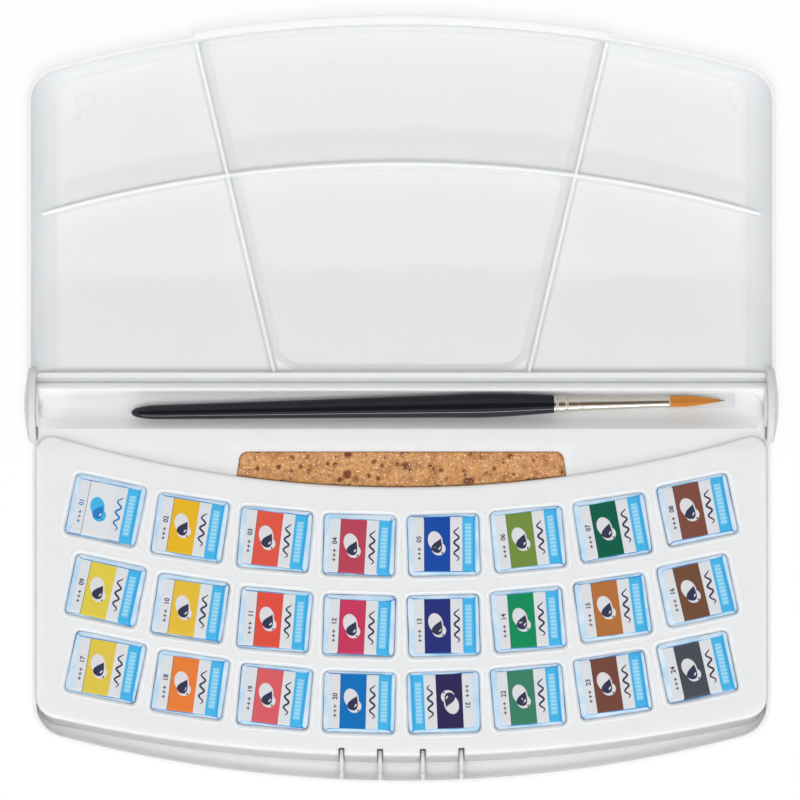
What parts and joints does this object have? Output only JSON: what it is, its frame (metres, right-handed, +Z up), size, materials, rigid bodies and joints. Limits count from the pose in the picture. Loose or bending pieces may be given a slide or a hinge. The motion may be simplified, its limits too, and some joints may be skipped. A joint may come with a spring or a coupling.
{
  "type": "watercolour paint box",
  "caption": "Flat hinged watercolour box, open: lid with mixing wells, lift-out deck of wrapped half pans, sponge, and a brush in a trough along the hinge.",
  "frame": {"origin": "centre of the open box's footprint, on the table", "axes": "+X along the hinge, to the right; +Y from the tray towards the open lid; +Z up"},
  "size_m": [0.2186, 0.223, 0.0225],
  "materials": {
    "tray_plastic": "satin moulded white plastic",
    "lid_plastic": "satin moulded white plastic",
    "deck_plastic": "thin white plastic with a soft sheen",
    "pan_plastic": "plain white plastic with cast paint",
    "sponge_cellulose": "brown open-pored cellulose sponge",
    "black_lacquer": "black gloss lacquer on wood",
    "nickel": "polished nickel plate",
    "golden_hair": "golden brown hair",
    "clear_sleeve": "clear thin plastic",
    "label_white": "printed paper with a soft sheen",
    "label_golden_yellow": "printed paper with a soft sheen",
    "label_orange_red": "printed paper with a soft sheen",
    "label_deep_red": "printed paper with a soft sheen",
    "label_cobalt_blue": "printed paper with a soft sheen",
    "label_yellow_green": "printed paper with a soft sheen",
    "label_viridian": "printed paper with a soft sheen",
    "label_red_brown": "printed paper with a soft sheen",
    "label_lemon_yellow": "printed paper with a soft sheen",
    "label_warm_yellow": "printed paper with a soft sheen",
    "label_scarlet": "printed paper with a soft sheen",
    "label_magenta": "printed paper with a soft sheen",
    "label_ultramarine": "printed paper with a soft sheen",
    "label_bright_green": "printed paper with a soft sheen",
    "label_ochre": "printed paper with a soft sheen",
    "label_raw_umber": "printed paper with a soft sheen",
    "label_yellow": "printed paper with a soft sheen",
    "label_orange": "printed paper with a soft sheen",
    "label_rose_red": "printed paper with a soft sheen",
    "label_cerulean": "printed paper with a soft sheen",
    "label_indigo": "printed paper with a soft sheen",
    "label_mid_green": "printed paper with a soft sheen",
    "label_burnt_sienna": "printed paper with a soft sheen",
    "label_dark_grey": "printed paper with a soft sheen"
  },
  "bodies": {
    "tray": {"base_tray": "tray_plastic"},
    "lid": {"lid": "lid_plastic"},
    "deck": {"pan_deck": "deck_plastic"},
    "sponge": {"sponge": "sponge_cellulose"},
    "brush": {"brush_handle": "black_lacquer", "brush_ferrule": "nickel", "brush_bristles": "golden_hair", "bristle_guard": "clear_sleeve"},
    "pan_01": {"pan_01": "pan_plastic", "wrapper_01": "label_white"},
    "pan_02": {"pan_02": "pan_plastic", "wrapper_02": "label_golden_yellow"},
    "pan_03": {"pan_03": "pan_plastic", "wrapper_03": "label_orange_red"},
    "pan_04": {"pan_04": "pan_plastic", "wrapper_04": "label_deep_red"},
    "pan_05": {"pan_05": "pan_plastic", "wrapper_05": "label_cobalt_blue"},
    "pan_06": {"pan_06": "pan_plastic", "wrapper_06": "label_yellow_green"},
    "pan_07": {"pan_07": "pan_plastic", "wrapper_07": "label_viridian"},
    "pan_08": {"pan_08": "pan_plastic", "wrapper_08": "label_red_brown"},
    "pan_09": {"pan_09": "pan_plastic", "wrapper_09": "label_lemon_yellow"},
    "pan_10": {"pan_10": "pan_plastic", "wrapper_10": "label_warm_yellow"},
    "pan_11": {"pan_11": "pan_plastic", "wrapper_11": "label_scarlet"},
    "pan_12": {"pan_12": "pan_plastic", "wrapper_12": "label_magenta"},
    "pan_13": {"pan_13": "pan_plastic", "wrapper_13": "label_ultramarine"},
    "pan_14": {"pan_14": "pan_plastic", "wrapper_14": "label_bright_green"},
    "pan_15": {"pan_15": "pan_plastic", "wrapper_15": "label_ochre"},
    "pan_16": {"pan_16": "pan_plastic", "wrapper_16": "label_raw_umber"},
    "pan_17": {"pan_17": "pan_plastic", "wrapper_17": "label_yellow"},
    "pan_18": {"pan_18": "pan_plastic", "wrapper_18": "label_orange"},
    "pan_19": {"pan_19": "pan_plastic", "wrapper_19": "label_rose_red"},
    "pan_20": {"pan_20": "pan_plastic", "wrapper_20": "label_cerulean"},
    "pan_21": {"pan_21": "pan_plastic", "wrapper_21": "label_indigo"},
    "pan_22": {"pan_22": "pan_plastic", "wrapper_22": "label_mid_green"},
    "pan_23": {"pan_23": "pan_plastic", "wrapper_23": "label_burnt_sienna"},
    "pan_24": {"pan_24": "pan_plastic", "wrapper_24": "label_dark_grey"}
  },
  "joints": [
    {"name": "lid_hinge", "type": "hinge", "parent": "tray", "child": "lid", "pos_m": [0, -0.00145, 0.0115], "axis": [-1, 0, 0], "range_deg": [-180, 0]},
    {"name": "deck_lift", "type": "slide", "parent": "tray", "child": "deck", "axis": [0, 0, 1], "range_m": [0, 0.03]},
    {"name": "sponge_lift", "type": "slide", "parent": "tray", "child": "sponge", "axis": [0, 0, 1], "range_m": [0, 0.03]},
    {"name": "brush_lift", "type": "slide", "parent": "tray", "child": "brush", "axis": [0, 0, 1], "range_m": [0, 0.03]},
    {"name": "pan_01_lift", "type": "slide", "parent": "deck", "child": "pan_01", "axis": [0, 0, 1], "range_m": [0, 0.02]},
    {"name": "pan_02_lift", "type": "slide", "parent": "deck", "child": "pan_02", "axis": [0, 0, 1], "range_m": [0, 0.02]},
    {"name": "pan_03_lift", "type": "slide", "parent": "deck", "child": "pan_03", "axis": [0, 0, 1], "range_m": [0, 0.02]},
    {"name": "pan_04_lift", "type": "slide", "parent": "deck", "child": "pan_04", "axis": [0, 0, 1], "range_m": [0, 0.02]},
    {"name": "pan_05_lift", "type": "slide", "parent": "deck", "child": "pan_05", "axis": [0, 0, 1], "range_m": [0, 0.02]},
    {"name": "pan_06_lift", "type": "slide", "parent": "deck", "child": "pan_06", "axis": [0, 0, 1], "range_m": [0, 0.02]},
    {"name": "pan_07_lift", "type": "slide", "parent": "deck", "child": "pan_07", "axis": [0, 0, 1], "range_m": [0, 0.02]},
    {"name": "pan_08_lift", "type": "slide", "parent": "deck", "child": "pan_08", "axis": [0, 0, 1], "range_m": [0, 0.02]},
    {"name": "pan_09_lift", "type": "slide", "parent": "deck", "child": "pan_09", "axis": [0, 0, 1], "range_m": [0, 0.02]},
    {"name": "pan_10_lift", "type": "slide", "parent": "deck", "child": "pan_10", "axis": [0, 0, 1], "range_m": [0, 0.02]},
    {"name": "pan_11_lift", "type": "slide", "parent": "deck", "child": "pan_11", "axis": [0, 0, 1], "range_m": [0, 0.02]},
    {"name": "pan_12_lift", "type": "slide", "parent": "deck", "child": "pan_12", "axis": [0, 0, 1], "range_m": [0, 0.02]},
    {"name": "pan_13_lift", "type": "slide", "parent": "deck", "child": "pan_13", "axis": [0, 0, 1], "range_m": [0, 0.02]},
    {"name": "pan_14_lift", "type": "slide", "parent": "deck", "child": "pan_14", "axis": [0, 0, 1], "range_m": [0, 0.02]},
    {"name": "pan_15_lift", "type": "slide", "parent": "deck", "child": "pan_15", "axis": [0, 0, 1], "range_m": [0, 0.02]},
    {"name": "pan_16_lift", "type": "slide", "parent": "deck", "child": "pan_16", "axis": [0, 0, 1], "range_m": [0, 0.02]},
    {"name": "pan_17_lift", "type": "slide", "parent": "deck", "child": "pan_17", "axis": [0, 0, 1], "range_m": [0, 0.02]},
    {"name": "pan_18_lift", "type": "slide", "parent": "deck", "child": "pan_18", "axis": [0, 0, 1], "range_m": [0, 0.02]},
    {"name": "pan_19_lift", "type": "slide", "parent": "deck", "child": "pan_19", "axis": [0, 0, 1], "range_m": [0, 0.02]},
    {"name": "pan_20_lift", "type": "slide", "parent": "deck", "child": "pan_20", "axis": [0, 0, 1], "range_m": [0, 0.02]},
    {"name": "pan_21_lift", "type": "slide", "parent": "deck", "child": "pan_21", "axis": [0, 0, 1], "range_m": [0, 0.02]},
    {"name": "pan_22_lift", "type": "slide", "parent": "deck", "child": "pan_22", "axis": [0, 0, 1], "range_m": [0, 0.02]},
    {"name": "pan_23_lift", "type": "slide", "parent": "deck", "child": "pan_23", "axis": [0, 0, 1], "range_m": [0, 0.02]},
    {"name": "pan_24_lift", "type": "slide", "parent": "deck", "child": "pan_24", "axis": [0, 0, 1], "range_m": [0, 0.02]}
  ]
}
